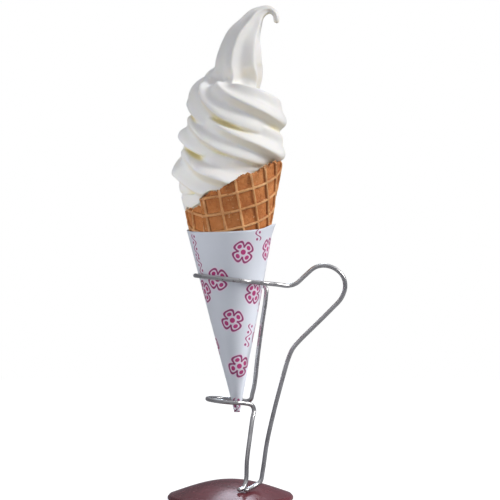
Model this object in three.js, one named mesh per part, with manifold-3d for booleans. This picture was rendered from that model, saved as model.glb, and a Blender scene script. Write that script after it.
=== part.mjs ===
// Soft serve ice cream in a rolled waffle cone, in a paper sleeve, standing in a bent wire holder.
// Millimetres, +Z up. The origin is the middle of the holder's flat underside.

import * as THREE from "three";
import { mergeVertices } from "three/addons/utils/BufferGeometryUtils.js";
import Module from "manifold-3d";

const wasm = await Module();
wasm.setup();

// ---------- driving dimensions ----------

const CLEARANCE = 0.3; // air between touching pieces

// The waffle cone, the sleeve and the filling share one cone: its virtual tip, its half angle
// and its lean towards -X. Slant lengths run from that tip along the side.
const TIP = new THREE.Vector3(4.8, 0, 49.3);
const HALF_ANGLE = THREE.MathUtils.degToRad(12.5);
const LEAN = THREE.MathUtils.degToRad(2.2);

const SLEEVE_THICKNESS = 0.6;
const SLEEVE_BOTTOM = 9; // slant
const SLEEVE_FLOOR = 6; // slant length of the folded, solid bottom
const SLEEVE_TOP = 131.2; // slant of the top edge at its lowest, in front
const SLEEVE_TOP_RISE = 3.2; // how much higher the edge is at the sides
const SLEEVE_FRONT = 265; // azimuth in degrees where the edge is lowest

const WAFFLE_THICKNESS = 2.7;
const WAFFLE_BOTTOM = 24; // slant
const RIM_MIDDLE = 163.4; // mean slant of the cut rim
const RIM_SLOPE = 15; // the rim stands this much higher at +X and lower at -X
const RIM_BACK = 1.5; // and this much higher at +Y
const RIM_RIPPLES = [[9, 0.8, 1], [16, 0.48, 2]]; // waves round the rim, height, phase in radians
const SEAM_AZIMUTH = 232; // where the rolled sheet's outer edge ends
const SEAM_GAP = 0.4; // degrees from the seam to either end of the rolled sheet
const SEAM_STEP = 3; // the rim drops this much past the seam
const SEAM_STEP_SPAN = [250, 356]; // degrees past the seam
const SEAM_LIFT = 0.6; // the outer edge stands off this much
const SEAM_LIFT_SPAN = [0, 50];
const WAFFLE_FLOOR = 6; // slant length of the solid tip
const GRID_PITCH_ACROSS = 12.2; // pressed grid, measured on the flat sheet
const GRID_PITCH_ALONG = 11.5;
const GRID_PHASE_ACROSS = 5.2;
const GRID_PHASE_ALONG = 153.4;
const GRID_TURN = THREE.MathUtils.degToRad(-8.7); // turn of the grid on the flat sheet
const RIDGE_WIDTH = 2.4;
const POCKET_DEPTH = 1.1;
const POCKET_DRAFT = 0.35; // how much each pocket wall leans in
const POCKET_COLUMNS = [-14, 14];
const POCKET_ROWS = [-13, 2];
const SHEET_SPAN = [-38, 308]; // degrees from the front that the pressed sheet covers
const OVERCUT = 4; // how far a cutter passes what it cuts

const ROPE_RIDGES = 6;
const ROPE_VALLEY = 0.72; // radius in a groove, as a part of the radius on a ridge
const RIDGE_ROUNDING = 0.12;
const GROOVE_MIDDLE = [[272, 0.57], [290, 0.42]]; // height, and share of the way between two ridges
const RIDGE_TWIST = -0.86; // degrees for each degree that the coil turns
const RIDGE_START = 66.7; // at the front of the top turn
const RIDGE_SWAY = [[1, 12.3, 52], [2, -15.4, 27.4], [3, -12.5, -9]]; // waves a turn, two amplitudes
const RIDGE_SHIFT = [[720, 0], [840, 49], [900, 4], [960, 16], [1020, 57]]; // in the lowest turn
const RIDGE_LIFT = 15; // the ridges turn up this much where they round the coil at +X
const VALLEY_FILL = 0.15; // and the grooves are this much shallower there
const COIL_SAG = 0.37; // how far the underside of a turn is squeezed out
const SAG_LOSS = 1.2; // part of that missing at +X
const SAG_FADE = 1.6; // how fast that ends where the rope climbs
const SAG_ROUNDING = 2;
const COIL_STEP = 20;
const COIL = [ // turn in degrees down the coil, height, distance from the coil's axis, radius
  [180, 262.9, 15.4, 16.7],
  [300, 256.5, 19.4, 17.0],
  [420, 249.8, 19.8, 15.4],
  [600, 239.2, 21.7, 14.7],
  [780, 229.7, 21.6, 15.8],
  [900, 219.7, 21.3, 16.7],
  [960, 215.6, 20.5, 16.9],
  [1000, 213.6, 16.6, 16.6],
  [1080, 214.7, 13.5, 14.9],
];
const AXIS_TOP = [3.2, 265.6]; // x and height of the coil's axis
const AXIS_LEAN = 0.088; // its sideways drift for each mm of height
const CORE_LEVELS = [[273, 12], [262, 22], [240, 26], [217, 28]]; // height and radius of the coil's fill
const BEND_LIMIT = 0.92; // part of the way to a bend's centre that a section may reach
const PLUG_BOTTOM = 40; // slant lengths of the cream inside the cone
const PLUG_TOP = 166;
const COLLAR_BOTTOM = 114; // slant lengths of the cream that swells out above the rim
const COLLAR_TOP = 157;
const COLLAR_INSET = 0.5;
const CREAM_GAP = 0.5; // air between the coil and the waffle's side
const CREAM_LIFT = 0.7; // and above its rim

const WIRE_DIAMETER = 2.9;
const RING_TILT = THREE.MathUtils.degToRad(6.5);
const RING_HEIGHT = 146.2; // of the upper ring's middle
const RING_SLACK = 0.3; // the bent ring is this much larger than the sleeve
const LOWER_RING = { x: -0.5, radius: 14.8, height: 65.6, tilt: THREE.MathUtils.degToRad(5) };

const BASE_RADIUS = 41.8;
const BASE_EDGE = 3.4; // height of the base's upright edge
const BASE_HEIGHT = 13.4;
const BASE_CHAMFER = 0.8;
const DOME = { inset: 1.2, drop: 1.6, reach: 5, power: 1.15 }; // from the edge, and its curve

// ---------- shared helpers ----------

const degrees = THREE.MathUtils.degToRad;

// Linear interpolation in a table whose rows start with a position; returns one of its columns.
function ramp(position, rows, column = 1) {
  const next = rows.findIndex(([place]) => place >= position);
  if (next === 0) return rows[0][column];
  if (next < 0) return rows[rows.length - 1][column];
  const [before, after] = [rows[next - 1], rows[next]];
  return THREE.MathUtils.mapLinear(position, before[0], after[0], before[column], after[column]);
}

// Closed mesh through rings of equally many points, with a fan over each end.
function loft(rings) {
  const count = rings[0].length;
  const middle = (ring) => ring.reduce((sum, p) => sum.add(p), new THREE.Vector3()).divideScalar(count);
  const points = [...rings.flat(), middle(rings[0]), middle(rings[rings.length - 1])];
  const [first, last] = [points.length - 2, points.length - 1];
  const faces = [];
  for (let i = 0; i < rings.length - 1; i += 1) {
    for (let k = 0; k < count; k += 1) {
      const [a, b] = [i * count + k, i * count + ((k + 1) % count)];
      faces.push(a, b, b + count, a, b + count, a + count);
    }
  }
  const top = (rings.length - 1) * count;
  for (let k = 0; k < count; k += 1) {
    const next = (k + 1) % count;
    faces.push(first, next, k, last, top + k, top + next);
  }
  const geometry = new THREE.BufferGeometry();
  geometry.setAttribute("position", new THREE.Float32BufferAttribute(points.flatMap((p) => p.toArray()), 3));
  geometry.setIndex(faces);
  return geometry;
}

// A closed geometry as a solid, whichever way its faces point.
function toSolid(geometry) {
  const bare = geometry.clone();
  bare.deleteAttribute("normal");
  bare.deleteAttribute("uv");
  const merged = mergeVertices(bare, 1e-4);
  const vertProperties = new Float32Array(merged.attributes.position.array);
  const triVerts = new Uint32Array(merged.index.array);
  const solid = new wasm.Manifold(new wasm.Mesh({ numProp: 3, vertProperties, triVerts }));
  if (solid.volume() > 0) return solid;
  const flipped = triVerts.slice();
  for (let i = 0; i < flipped.length; i += 3) [flipped[i], flipped[i + 1]] = [triVerts[i + 1], triVerts[i]];
  return new wasm.Manifold(new wasm.Mesh({ numProp: 3, vertProperties, triVerts: flipped }));
}

// Joins solids in pairs, so that no running total grows slowly.
function join(solids) {
  if (solids.length === 1) return solids[0];
  const half = Math.ceil(solids.length / 2);
  return join(solids.slice(0, half)).add(join(solids.slice(half)));
}

function toGeometry(solid) {
  const mesh = solid.getMesh();
  const geometry = new THREE.BufferGeometry();
  geometry.setAttribute("position", new THREE.BufferAttribute(new Float32Array(mesh.vertProperties), 3));
  geometry.setIndex(Array.from(mesh.triVerts));
  geometry.computeVertexNormals();
  return geometry;
}

// A point on the shared cone: slant length, azimuth in radians, and distance out from the side.
function onCone(slant, azimuth, out) {
  const across = Math.sin(HALF_ANGLE) * slant + Math.cos(HALF_ANGLE) * out;
  const along = Math.cos(HALF_ANGLE) * slant - Math.sin(HALF_ANGLE) * out;
  const point = new THREE.Vector3(across * Math.cos(azimuth), across * Math.sin(azimuth), along);
  return point.applyAxisAngle(new THREE.Vector3(0, 1, 0), -LEAN).add(TIP);
}

// A solid of the cone from one slant length to another, which is a function of azimuth.
function coneSolid(out, bottom, top, steps = 60) {
  const rings = [() => bottom, top].map((slant) => {
    const ring = [];
    for (let k = 0; k < steps; k += 1) {
      const azimuth = (k / steps) * 2 * Math.PI;
      ring.push(onCone(slant(azimuth), azimuth, out));
    }
    return ring;
  });
  return toSolid(loft(rings));
}

// ---------- paper sleeve ----------

const SLEEVE_INSIDE = -SLEEVE_THICKNESS;

function sleeveTop(azimuth) {
  return SLEEVE_TOP + SLEEVE_TOP_RISE * (1 - Math.cos(azimuth - degrees(SLEEVE_FRONT)));
}

function paperSleeve() {
  const outer = coneSolid(0, SLEEVE_BOTTOM, sleeveTop);
  const inner = coneSolid(SLEEVE_INSIDE, SLEEVE_BOTTOM + SLEEVE_FLOOR, (a) => sleeveTop(a) + OVERCUT);
  return toGeometry(outer.subtract(inner));
}

// ---------- waffle cone ----------

const WAFFLE_OUTSIDE = SLEEVE_INSIDE - CLEARANCE - SEAM_LIFT;

// How far past the seam an azimuth lies, in degrees, going round anticlockwise.
function pastSeam(azimuth) {
  return THREE.MathUtils.euclideanModulo(THREE.MathUtils.radToDeg(azimuth) - SEAM_AZIMUTH, 360);
}

function rim(azimuth) {
  const slope = RIM_SLOPE * Math.cos(azimuth) + RIM_BACK * Math.sin(azimuth);
  const ripples = RIM_RIPPLES.map(([waves, height, phase]) => height * Math.sin(waves * azimuth + phase));
  const step = SEAM_STEP * THREE.MathUtils.smoothstep(pastSeam(azimuth), ...SEAM_STEP_SPAN);
  return ripples.reduce((sum, ripple) => sum + ripple, RIM_MIDDLE + slope - step);
}

function waffleOutside(azimuth) {
  const lowered = THREE.MathUtils.smoothstep(pastSeam(azimuth), ...SEAM_LIFT_SPAN);
  return WAFFLE_OUTSIDE + SEAM_LIFT * (1 - lowered);
}

// The rolled sheet filled solid: its rings start and end at the seam, with a step there.
// It can stand proud of the sheet's side and of its rim.
function rolledSolid(proudSide, proudRim) {
  const steps = 60;
  const rings = [0, 1].map((level) => {
    const ring = [];
    for (let k = 0; k <= steps; k += 1) {
      const azimuth = degrees(SEAM_AZIMUTH + THREE.MathUtils.lerp(SEAM_GAP, 360 - SEAM_GAP, k / steps));
      const slant = THREE.MathUtils.lerp(WAFFLE_BOTTOM, rim(azimuth) + proudRim, level);
      ring.push(onCone(slant, azimuth, waffleOutside(azimuth) + proudSide));
    }
    return ring;
  });
  return toSolid(loft(rings));
}

// A point of the flat sheet's grid, wrapped round the cone.
function onGrid(across, along, out) {
  const turn = Math.atan2(across, along) + GRID_TURN;
  const azimuth = degrees(270) + turn / Math.sin(HALF_ANGLE);
  return onCone(Math.hypot(across, along), azimuth, out);
}

// One pressed pocket between four ridges, wider at its mouth than at its floor.
function pocket(column, row) {
  const middleAcross = GRID_PHASE_ACROSS + (column + 0.5) * GRID_PITCH_ACROSS;
  const middleAlong = GRID_PHASE_ALONG + (row + 0.5) * GRID_PITCH_ALONG;
  const layer = (out, draft) => {
    const halfAcross = (GRID_PITCH_ACROSS - RIDGE_WIDTH) / 2 + draft;
    const halfAlong = (GRID_PITCH_ALONG - RIDGE_WIDTH) / 2 + draft;
    const at = (a, b) => onGrid(middleAcross + a * halfAcross, middleAlong + b * halfAlong, out);
    return [at(-1, -1), at(0, -1), at(1, -1), at(1, 1), at(0, 1), at(-1, 1)];
  };
  const floor = layer(WAFFLE_OUTSIDE - POCKET_DEPTH, -POCKET_DRAFT);
  const mouth = layer(WAFFLE_OUTSIDE + 2 * SEAM_LIFT, POCKET_DRAFT);
  return toSolid(loft([floor, mouth]));
}

// The pockets whose middles lie inside one turn of the sheet and above the sleeve's edge.
function pockets() {
  const found = [];
  const [first, last] = POCKET_COLUMNS;
  const [lowest, highest] = POCKET_ROWS;
  const [from, to] = SHEET_SPAN.map(degrees);
  for (let column = first; column <= last; column += 1) {
    for (let row = lowest; row <= highest; row += 1) {
      const across = GRID_PHASE_ACROSS + (column + 0.5) * GRID_PITCH_ACROSS;
      const along = GRID_PHASE_ALONG + (row + 0.5) * GRID_PITCH_ALONG;
      const fromFront = (Math.atan2(across, along) + GRID_TURN) / Math.sin(HALF_ANGLE);
      const slant = Math.hypot(across, along);
      const azimuth = degrees(270) + fromFront;
      const uncovered = slant > SLEEVE_TOP && slant < rim(azimuth) + OVERCUT;
      if (fromFront > from && fromFront < to && uncovered) found.push(pocket(column, row));
    }
  }
  return join(found);
}

function waffleCone() {
  const inside = WAFFLE_OUTSIDE - WAFFLE_THICKNESS;
  const inner = coneSolid(inside, WAFFLE_BOTTOM + WAFFLE_FLOOR, (a) => rim(a) + OVERCUT);
  return toGeometry(rolledSolid(0, 0).subtract(inner).subtract(pockets()));
}

// ---------- soft serve ----------

const FILLING_OUTSIDE = WAFFLE_OUTSIDE - WAFFLE_THICKNESS - CLEARANCE;

// 1 where a turn faces +X, 0 well away from there.
function atSide(turn) {
  return Math.max(Math.cos(degrees(turn)), 0) ** 6;
}

// The angle of a ridge round the rope, which turns slowly as the rope goes down the coil.
function ridgeAngle(turn) {
  const sway = RIDGE_SWAY.map(([waves, cosine, sine]) => {
    const phase = degrees(waves * turn);
    return cosine * Math.cos(phase) + sine * Math.sin(phase);
  });
  const even = RIDGE_START + RIDGE_TWIST * (turn - 270) + ramp(turn, RIDGE_SHIFT);
  return sway.reduce((sum, part) => sum + part, even + RIDGE_LIFT * atSide(turn));
}

function axisX(height) {
  return AXIS_TOP[0] - AXIS_LEAN * (AXIS_TOP[1] - height);
}

// The pulled-up tail from its hooked tip down to the coil: x, y, z, radius, section direction, ridge.
const TAIL = [
  [30.8, 0, 317.4, 0.9, 90, 173],
  [30.8, 0, 318.2, 1.9, 90, 173],
  [30.7, 0, 319.8, 2.4, 90, 173],
  [30.4, 0, 322.6, 2.5, 90, 173],
  [28.4, 0, 325.6, 2.7, 90, 173],
  [24.8, 0, 326.7, 3.4, 90, 173],
  [20.7, 0, 325.2, 4.5, 90, 173],
  [16.8, 0, 321.9, 6.6, 90, 173],
  [13.0, 0, 315.7, 9.0, 90, 172],
  [9.0, 0, 307.7, 12.4, 90, 166],
  [7.0, 0.5, 300.0, 14.5, 90, 162],
  [5.7, 2.1, 292.2, 16.2, 90, 164],
  [4.9, 6.1, 284.3, 17.8, 92, 171],
  [0.7, 11.0, 276.4, 17.8, 108, 156],
  [-9.9, 12.4, 271.5, 17.0, 143, 152],
];

// Each station of the rope: centre, then radius, the direction its section is measured from, ridge.
function ropeStations() {
  const stations = TAIL.map(([x, y, z, ...size]) => [new THREE.Vector3(x, y, z), new THREE.Vector3(...size)]);
  for (let turn = COIL[0][0]; turn <= COIL[COIL.length - 1][0]; turn += COIL_STEP) {
    const [height, reach, radius] = [1, 2, 3].map((column) => ramp(turn, COIL, column));
    const angle = degrees(turn);
    const x = axisX(height) + reach * Math.cos(angle);
    const centre = new THREE.Vector3(x, reach * Math.sin(angle), height);
    stations.push([centre, new THREE.Vector3(radius, turn, ridgeAngle(turn))]);
  }
  return stations;
}

// Radius of the fluted section: rounded ridges, with each hollow groove deepest at its middle.
function flute(phase, middle, valley) {
  const share = (phase % 1) ** (Math.log(0.5) / Math.log(middle));
  const wave = Math.hypot(Math.sin(Math.PI * share), RIDGE_ROUNDING) - RIDGE_ROUNDING;
  const ridge = 1 - wave / (Math.hypot(1, RIDGE_ROUNDING) - RIDGE_ROUNDING);
  return valley + (1 - valley) * ridge;
}

// Rings of points along the rope. Where the rope bends tightly, the ring is held short of the
// bend's centre, so that the rope never folds through itself.
function ropeRings(perStation, perRidge) {
  const stations = ropeStations();
  const centreLine = new THREE.CatmullRomCurve3(stations.map(([centre]) => centre), false, "catmullrom");
  const sizes = new THREE.CatmullRomCurve3(stations.map(([, size]) => size), false, "catmullrom");
  const count = (stations.length - 1) * perStation;
  const centres = [];
  for (let i = 0; i <= count; i += 1) centres.push(centreLine.getPoint(i / count));
  const at = (i) => centres[THREE.MathUtils.clamp(i, 0, count)];
  const heading = (i) => at(i + 1).clone().sub(at(i - 1)).normalize();
  return centres.map((centre, i) => {
    const [radius, turn, ridge] = sizes.getPoint(i / count).toArray();
    const along = heading(i);
    const bend = heading(i + 1).sub(heading(i - 1)).divideScalar(at(i + 1).distanceTo(at(i - 1)));
    const outward = new THREE.Vector3(Math.cos(degrees(turn)), Math.sin(degrees(turn)), 0);
    outward.addScaledVector(along, -outward.dot(along)).normalize();
    const upward = outward.clone().cross(along);
    const middle = ramp(centre.z, GROOVE_MIDDLE);
    const valley = ROPE_VALLEY + VALLEY_FILL * atSide(turn);
    const level = THREE.MathUtils.clamp(1 - SAG_FADE * Math.abs(along.z), 0, 1);
    const sag = COIL_SAG * level * (1 - SAG_LOSS * atSide(turn));
    const ring = [];
    for (let k = 0; k < ROPE_RIDGES * perRidge; k += 1) {
      const angle = degrees(ridge) + (k / (ROPE_RIDGES * perRidge)) * 2 * Math.PI;
      const way = outward.clone().multiplyScalar(Math.cos(angle)).addScaledVector(upward, Math.sin(angle));
      const limit = BEND_LIMIT / Math.max(way.dot(bend), 1e-3);
      way.multiplyScalar(Math.min(radius * flute(k / perRidge, middle, valley), limit));
      const below = (Math.hypot(way.z, SAG_ROUNDING) - way.z) / 2;
      ring.push(way.add(centre).addScaledVector(outward, sag * below));
    }
    return ring;
  });
}

// The rope in short lengths that meet end to end, so that each is a plain closed solid.
function rope() {
  const rings = ropeRings(2, 4);
  const ringsPerPiece = 9;
  const pieces = [];
  for (let start = 0; start < rings.length - 1; start += ringsPerPiece) {
    pieces.push(toSolid(loft(rings.slice(start, start + ringsPerPiece + 1))));
  }
  return join(pieces);
}

// What fills the coil's middle.
function core() {
  const sides = 24;
  const rings = CORE_LEVELS.map(([height, radius]) => {
    const ring = [];
    for (let k = 0; k < sides; k += 1) {
      const angle = (k / sides) * 2 * Math.PI;
      const x = axisX(height) + radius * Math.cos(angle);
      ring.push(new THREE.Vector3(x, radius * Math.sin(angle), height));
    }
    return ring;
  });
  return toSolid(loft(rings));
}

function softServe() {
  const plug = coneSolid(FILLING_OUTSIDE, PLUG_BOTTOM, () => PLUG_TOP, 48);
  const collar = coneSolid(WAFFLE_OUTSIDE - COLLAR_INSET, COLLAR_BOTTOM, () => COLLAR_TOP, 48);
  const swirl = join([rope(), core(), collar]).subtract(rolledSolid(CREAM_GAP, CREAM_LIFT));
  return toGeometry(swirl.add(plug));
}

// ---------- wire holder ----------

// The upper ring lies on the sleeve, on a tilted plane.
function upperRing(azimuthDegrees) {
  const azimuth = degrees(azimuthDegrees);
  const slope = Math.tan(RING_TILT);
  let slant = (RING_HEIGHT - TIP.z) / Math.cos(HALF_ANGLE);
  const out = WIRE_DIAMETER / 2 + CLEARANCE + RING_SLACK;
  for (let pass = 0; pass < 6; pass += 1) {
    const point = onCone(slant, azimuth, out);
    slant += (RING_HEIGHT - point.x * slope - point.z) / Math.cos(HALF_ANGLE);
  }
  return onCone(slant, azimuth, out);
}

function lowerRing(azimuthDegrees) {
  const azimuth = degrees(azimuthDegrees);
  const { x, radius, height, tilt } = LOWER_RING;
  const along = radius * Math.cos(azimuth);
  return new THREE.Vector3(x + along, radius * Math.sin(azimuth), height - along * Math.tan(tilt));
}

const point = (x, y, z) => new THREE.Vector3(x, y, z);
const arc = (ring, from, to, step) => {
  const found = [];
  const count = Math.round(Math.abs(to - from) / step);
  for (let i = 0; i <= count; i += 1) found.push(ring(from + ((to - from) * i) / count));
  return found;
};

// One wire from foot to foot: up a leg, round the lower ring, up again, round the upper ring,
// out into the handle's loop and down the other leg.
function wireRoute() {
  return [
    point(6.2, -27.5, 10.1),
    point(8.8, -25.2, 11.2),
    point(10.4, -22.6, 15.5),
    point(11.0, -20.0, 27.7),
    point(13.0, -15.0, 43.3),
    point(14.6, -11.0, 54.5),
    point(15.6, -8.0, 60.2),
    point(14.2, -8.6, 63.2),
    ...arc(lowerRing, -50, -320, 22.5),
    point(13.6, 6.6, 66.0),
    point(14.6, 5.0, 69.8),
    point(16.0, 4.5, 76.0),
    point(18.3, 6.0, 96.0),
    point(21.0, 8.2, 116.0),
    point(23.6, 10.6, 134.0),
    point(23.6, 12.6, 140.6),
    ...arc(upperRing, 42, 304, 16),
    point(21.8, -18.2, 143.8),
    point(31.0, -11.0, 142.9),
    point(38.5, -6.5, 142.1),
    point(43.8, -4.5, 143.7),
    point(49.0, -3.2, 148.3),
    point(56.6, -2.4, 154.4),
    point(63.5, -2.2, 155.4),
    point(70.2, -2.0, 153.0),
    point(75.0, -2.0, 147.8),
    point(76.3, -2.0, 141.0),
    point(73.6, -2.2, 133.6),
    point(67.0, -2.6, 126.4),
    point(55.0, -3.4, 114.6),
    point(46.0, -4.2, 105.8),
    point(41.4, -5.0, 100.4),
    point(38.6, -5.8, 94.4),
    point(33.4, -8.8, 76.8),
    point(28.0, -12.0, 56.4),
    point(24.0, -14.6, 38.6),
    point(21.4, -16.4, 21.4),
    point(19.8, -17.6, 14.2),
    point(16.0, -20.6, 11.7),
    point(10.6, -27.0, 9.7),
  ];
}

function holderWire() {
  const route = new THREE.CatmullRomCurve3(wireRoute(), false, "centripetal");
  const section = new THREE.Shape();
  section.absarc(0, 0, WIRE_DIAMETER / 2, 0, 2 * Math.PI);
  const options = { steps: 150, curveSegments: 4, bevelEnabled: false, extrudePath: route };
  return toGeometry(toSolid(new THREE.ExtrudeGeometry(section, options)));
}

// ---------- holder base ----------

function baseProfile(radius) {
  const shoulder = Math.cos((Math.PI / 2) * Math.min(1, radius / (BASE_RADIUS + DOME.reach)));
  const start = BASE_EDGE - DOME.drop;
  return start + (BASE_HEIGHT - start) * shoulder ** DOME.power;
}

function holderBase() {
  const profile = [new THREE.Vector2(0, 0), new THREE.Vector2(BASE_RADIUS - BASE_CHAMFER, 0)];
  profile.push(new THREE.Vector2(BASE_RADIUS, BASE_CHAMFER));
  profile.push(new THREE.Vector2(BASE_RADIUS, BASE_EDGE - BASE_CHAMFER));
  const spans = 6;
  for (let i = 0; i < spans; i += 1) {
    const radius = (BASE_RADIUS - DOME.inset) * Math.cos((i / spans) * (Math.PI / 2));
    profile.push(new THREE.Vector2(radius, baseProfile(radius)));
  }
  profile.push(new THREE.Vector2(0, baseProfile(0)));
  const turned = new THREE.LatheGeometry(profile, 48).rotateX(Math.PI / 2);
  return toSolid(turned);
}

// ---------- the assembled object ----------

function piece(name, geometry, color, roughness, metalness = 0) {
  const mesh = new THREE.Mesh(geometry, new THREE.MeshStandardMaterial({ color, roughness, metalness }));
  mesh.name = name;
  return mesh;
}

const group = new THREE.Group();
group.add(piece("soft_serve", softServe(), 0xf2efe6, 0.45));
group.add(piece("waffle_cone", waffleCone(), 0xb9773e, 0.75));
group.add(piece("paper_sleeve", paperSleeve(), 0xdfe3ec, 0.8));
group.add(piece("holder_wire", holderWire(), 0xa7a9ad, 0.28, 1));
group.add(piece("holder_base", toGeometry(holderBase()), 0x5b3a3a, 0.25, 0.7));

export default group;
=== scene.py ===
"""The looks of a soft serve cone that stands in a bent wire holder.

Lengths are millimetres and angles degrees until a mesh is made, in metres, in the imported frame.
"""

import math

import bpy
import numpy as np
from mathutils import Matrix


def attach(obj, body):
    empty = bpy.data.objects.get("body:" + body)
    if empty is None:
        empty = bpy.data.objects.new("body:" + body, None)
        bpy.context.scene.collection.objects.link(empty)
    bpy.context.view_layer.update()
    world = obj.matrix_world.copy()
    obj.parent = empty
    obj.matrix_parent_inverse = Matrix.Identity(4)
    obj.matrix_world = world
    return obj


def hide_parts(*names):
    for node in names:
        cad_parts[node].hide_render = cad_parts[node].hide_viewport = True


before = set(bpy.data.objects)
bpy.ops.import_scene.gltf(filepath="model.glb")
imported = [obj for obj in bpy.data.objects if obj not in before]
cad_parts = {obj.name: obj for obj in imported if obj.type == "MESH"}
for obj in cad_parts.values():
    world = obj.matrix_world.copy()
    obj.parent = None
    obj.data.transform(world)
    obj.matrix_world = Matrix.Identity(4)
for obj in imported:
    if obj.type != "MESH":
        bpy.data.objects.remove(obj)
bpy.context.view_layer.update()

import openvdb
from mathutils import Vector, noise

MM = 0.001

# ---------- driving dimensions, as in the CAD source except where a comment says "only here" ----------

CLEARANCE = 0.3  # air between touching pieces

TIP = np.array([4.8, 0.0, 49.3])  # virtual tip of the cone that everything rolled shares
HALF_ANGLE = math.radians(12.5)
LEAN = math.radians(2.2)  # towards -X
FRONT = 270  # azimuth that faces the camera, only here

SLEEVE_THICKNESS = 0.6  # the solid's, and room for the paper, which is thinner
SLEEVE_BOTTOM = 9  # slant lengths run from the virtual tip along the side
SLEEVE_TOP = 131.2
SLEEVE_TOP_RISE = 3.2
SLEEVE_LOWEST = 265  # azimuth where the top edge is lowest
PAPER = 0.22  # real thickness, only here

WAFFLE_THICKNESS = 2.7
WAFFLE_BOTTOM = 24
WAFFLE_FLOOR = 6
RIM_MIDDLE = 163.4
RIM_SLOPE = 15
RIM_BACK = 1.5
RIM_RIPPLE = 0.8
SEAM_AZIMUTH = 232
SEAM_STEP = 3
SEAM_STEP_SPAN = (250, 356)  # degrees past the seam
SEAM_LIFT = 0.6
SEAM_LIFT_SPAN = (0, 50)
SEAM_GAP = 0.4
GRID_PITCH = (12.2, 11.5)  # across and along, on the flat sheet
GRID_PHASE = (5.2, 153.4)
GRID_TURN = math.radians(-8.7)
WAFFLE_OUTSIDE = -SLEEVE_THICKNESS - CLEARANCE - SEAM_LIFT
FILLING_OUTSIDE = WAFFLE_OUTSIDE - WAFFLE_THICKNESS - CLEARANCE

ROPE_RIDGES = 6
ROPE_VALLEY = 0.72
RIDGE_ROUNDING = 0.12
SIDE_ROUNDING = 0.4  # added at +X and -X, where the ridges slump rounder, only here
GROOVE_MIDDLE = ((272, 0.57), (290, 0.42))  # height, and share of the way from one ridge to the next
RIDGE_TWIST = -0.86  # degrees for each degree that the coil turns
RIDGE_START = 66.7  # at the front of the top turn
RIDGE_SWAY = ((1, 12.3, 52), (2, -15.4, 27.4), (3, -12.5, -9))  # waves a turn, and two amplitudes
RIDGE_SHIFT = ((720, 0), (840, 49), (900, 4), (960, 16), (1020, 57))  # in the lowest turn
RIDGE_LIFT = 15  # the ridges turn up this much where they round the coil at +X
COIL_SAG = 0.37  # how far the underside of a turn is squeezed out
SAG_LOSS = 1.2  # part of that missing at +X
SAG_FADE = 1.6  # how soon the sag goes as the rope turns upright
SAG_ROUNDING = 2
BEND_LIMIT = 0.92  # share of the way to the centre of a bend that the rope may reach
VALLEY_FILL = 0.15  # the grooves are this much shallower at +X
COIL_STEP = 20
COIL = (  # turn, height, distance from the coil's axis, radius
    (180, 262.9, 15.4, 16.7),
    (300, 256.5, 19.4, 17.0),
    (420, 249.8, 19.8, 15.4),
    (600, 239.2, 21.7, 14.7),
    (780, 229.7, 21.6, 15.8),
    (900, 219.7, 21.3, 16.7),
    (960, 215.6, 20.5, 16.9),
    (1000, 213.6, 16.6, 16.6),
    (1080, 214.7, 13.5, 14.9),
)
AXIS_TOP = (3.2, 265.6)  # x and height of the coil's axis
AXIS_LEAN = 0.088
CORE_LEVELS = ((273, 12), (262, 22), (240, 26), (217, 28))  # height and radius
COLLAR_BOTTOM = 114  # slant lengths
COLLAR_TOP = 157
COLLAR_OUTSIDE = WAFFLE_OUTSIDE - 0.5  # the cream swells to here above the rim
PLUG_BOTTOM = 40
PLUG_TOP = 166
CREAM_GAP = 0.5  # between the cream and the waffle's side
CREAM_LIFT = 0.7  # and above its rim

WIRE_RADIUS = 1.45
RING_TILT = math.radians(6.5)
RING_HEIGHT = 146.2
RING_SLACK = 0.3
LOWER_RING_X = -0.5
LOWER_RING_RADIUS = 14.8
LOWER_RING_HEIGHT = 65.6
LOWER_RING_TILT = math.radians(5)

BASE_RADIUS = 41.8
BASE_EDGE = 3.4
BASE_HEIGHT = 13.4
DOME_INSET = 1.2  # the dome starts this far inside the edge
DOME_DROP = 1.6  # its cosine reaches this far below the edge
DOME_REACH = 5  # and this far past it
DOME_POWER = 1.15
UNDERSIDE_INSET = 6  # the underside's outermost ring lies this far inside the edge, only here

# ---------- numbers and curves ----------


def smoothstep(value, low, high):
    share = np.clip((np.asarray(value, float) - low) / (high - low), 0, 1)
    return share * share * (3 - 2 * share)


def catmull_rom(points, per_span, power=0.0):
    """A Catmull-Rom curve through points: power 0 is uniform, 0.5 is centripetal."""
    points = np.asarray(points, float)
    ends = (2 * points[0] - points[1], 2 * points[-1] - points[-2])
    points = np.vstack([ends[0], points, ends[1]])
    share = np.linspace(0, 1, per_span, endpoint=False)[:, None]
    found = []
    for p0, p1, p2, p3 in zip(points, points[1:], points[2:], points[3:]):
        t1, t2, t3 = (np.linalg.norm(b - a) ** power for a, b in ((p0, p1), (p1, p2), (p2, p3)))
        m1 = t2 * ((p1 - p0) / t1 - (p2 - p0) / (t1 + t2) + (p2 - p1) / t2)
        m2 = t2 * ((p2 - p1) / t2 - (p3 - p1) / (t2 + t3) + (p3 - p2) / t3)
        cubic = (2 * p1 - 2 * p2 + m1 + m2) * share**3
        square = (-3 * p1 + 3 * p2 - 2 * m1 - m2) * share**2
        found.append(cubic + square + m1 * share + p1)
    return np.vstack([*found, points[-2]])


def unit(vectors):
    return vectors / np.linalg.norm(vectors, axis=-1, keepdims=True)


def on_cone(slant, azimuth, out):
    """Points at a slant length, an azimuth in radians and a distance out from the cone's side."""
    across = math.sin(HALF_ANGLE) * slant + math.cos(HALF_ANGLE) * out
    along = math.cos(HALF_ANGLE) * slant - math.sin(HALF_ANGLE) * out
    x, y = across * np.cos(azimuth), across * np.sin(azimuth)
    cosine, sine = math.cos(LEAN), math.sin(LEAN)
    return np.stack((x * cosine - along * sine, y, x * sine + along * cosine), -1) + TIP


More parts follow.
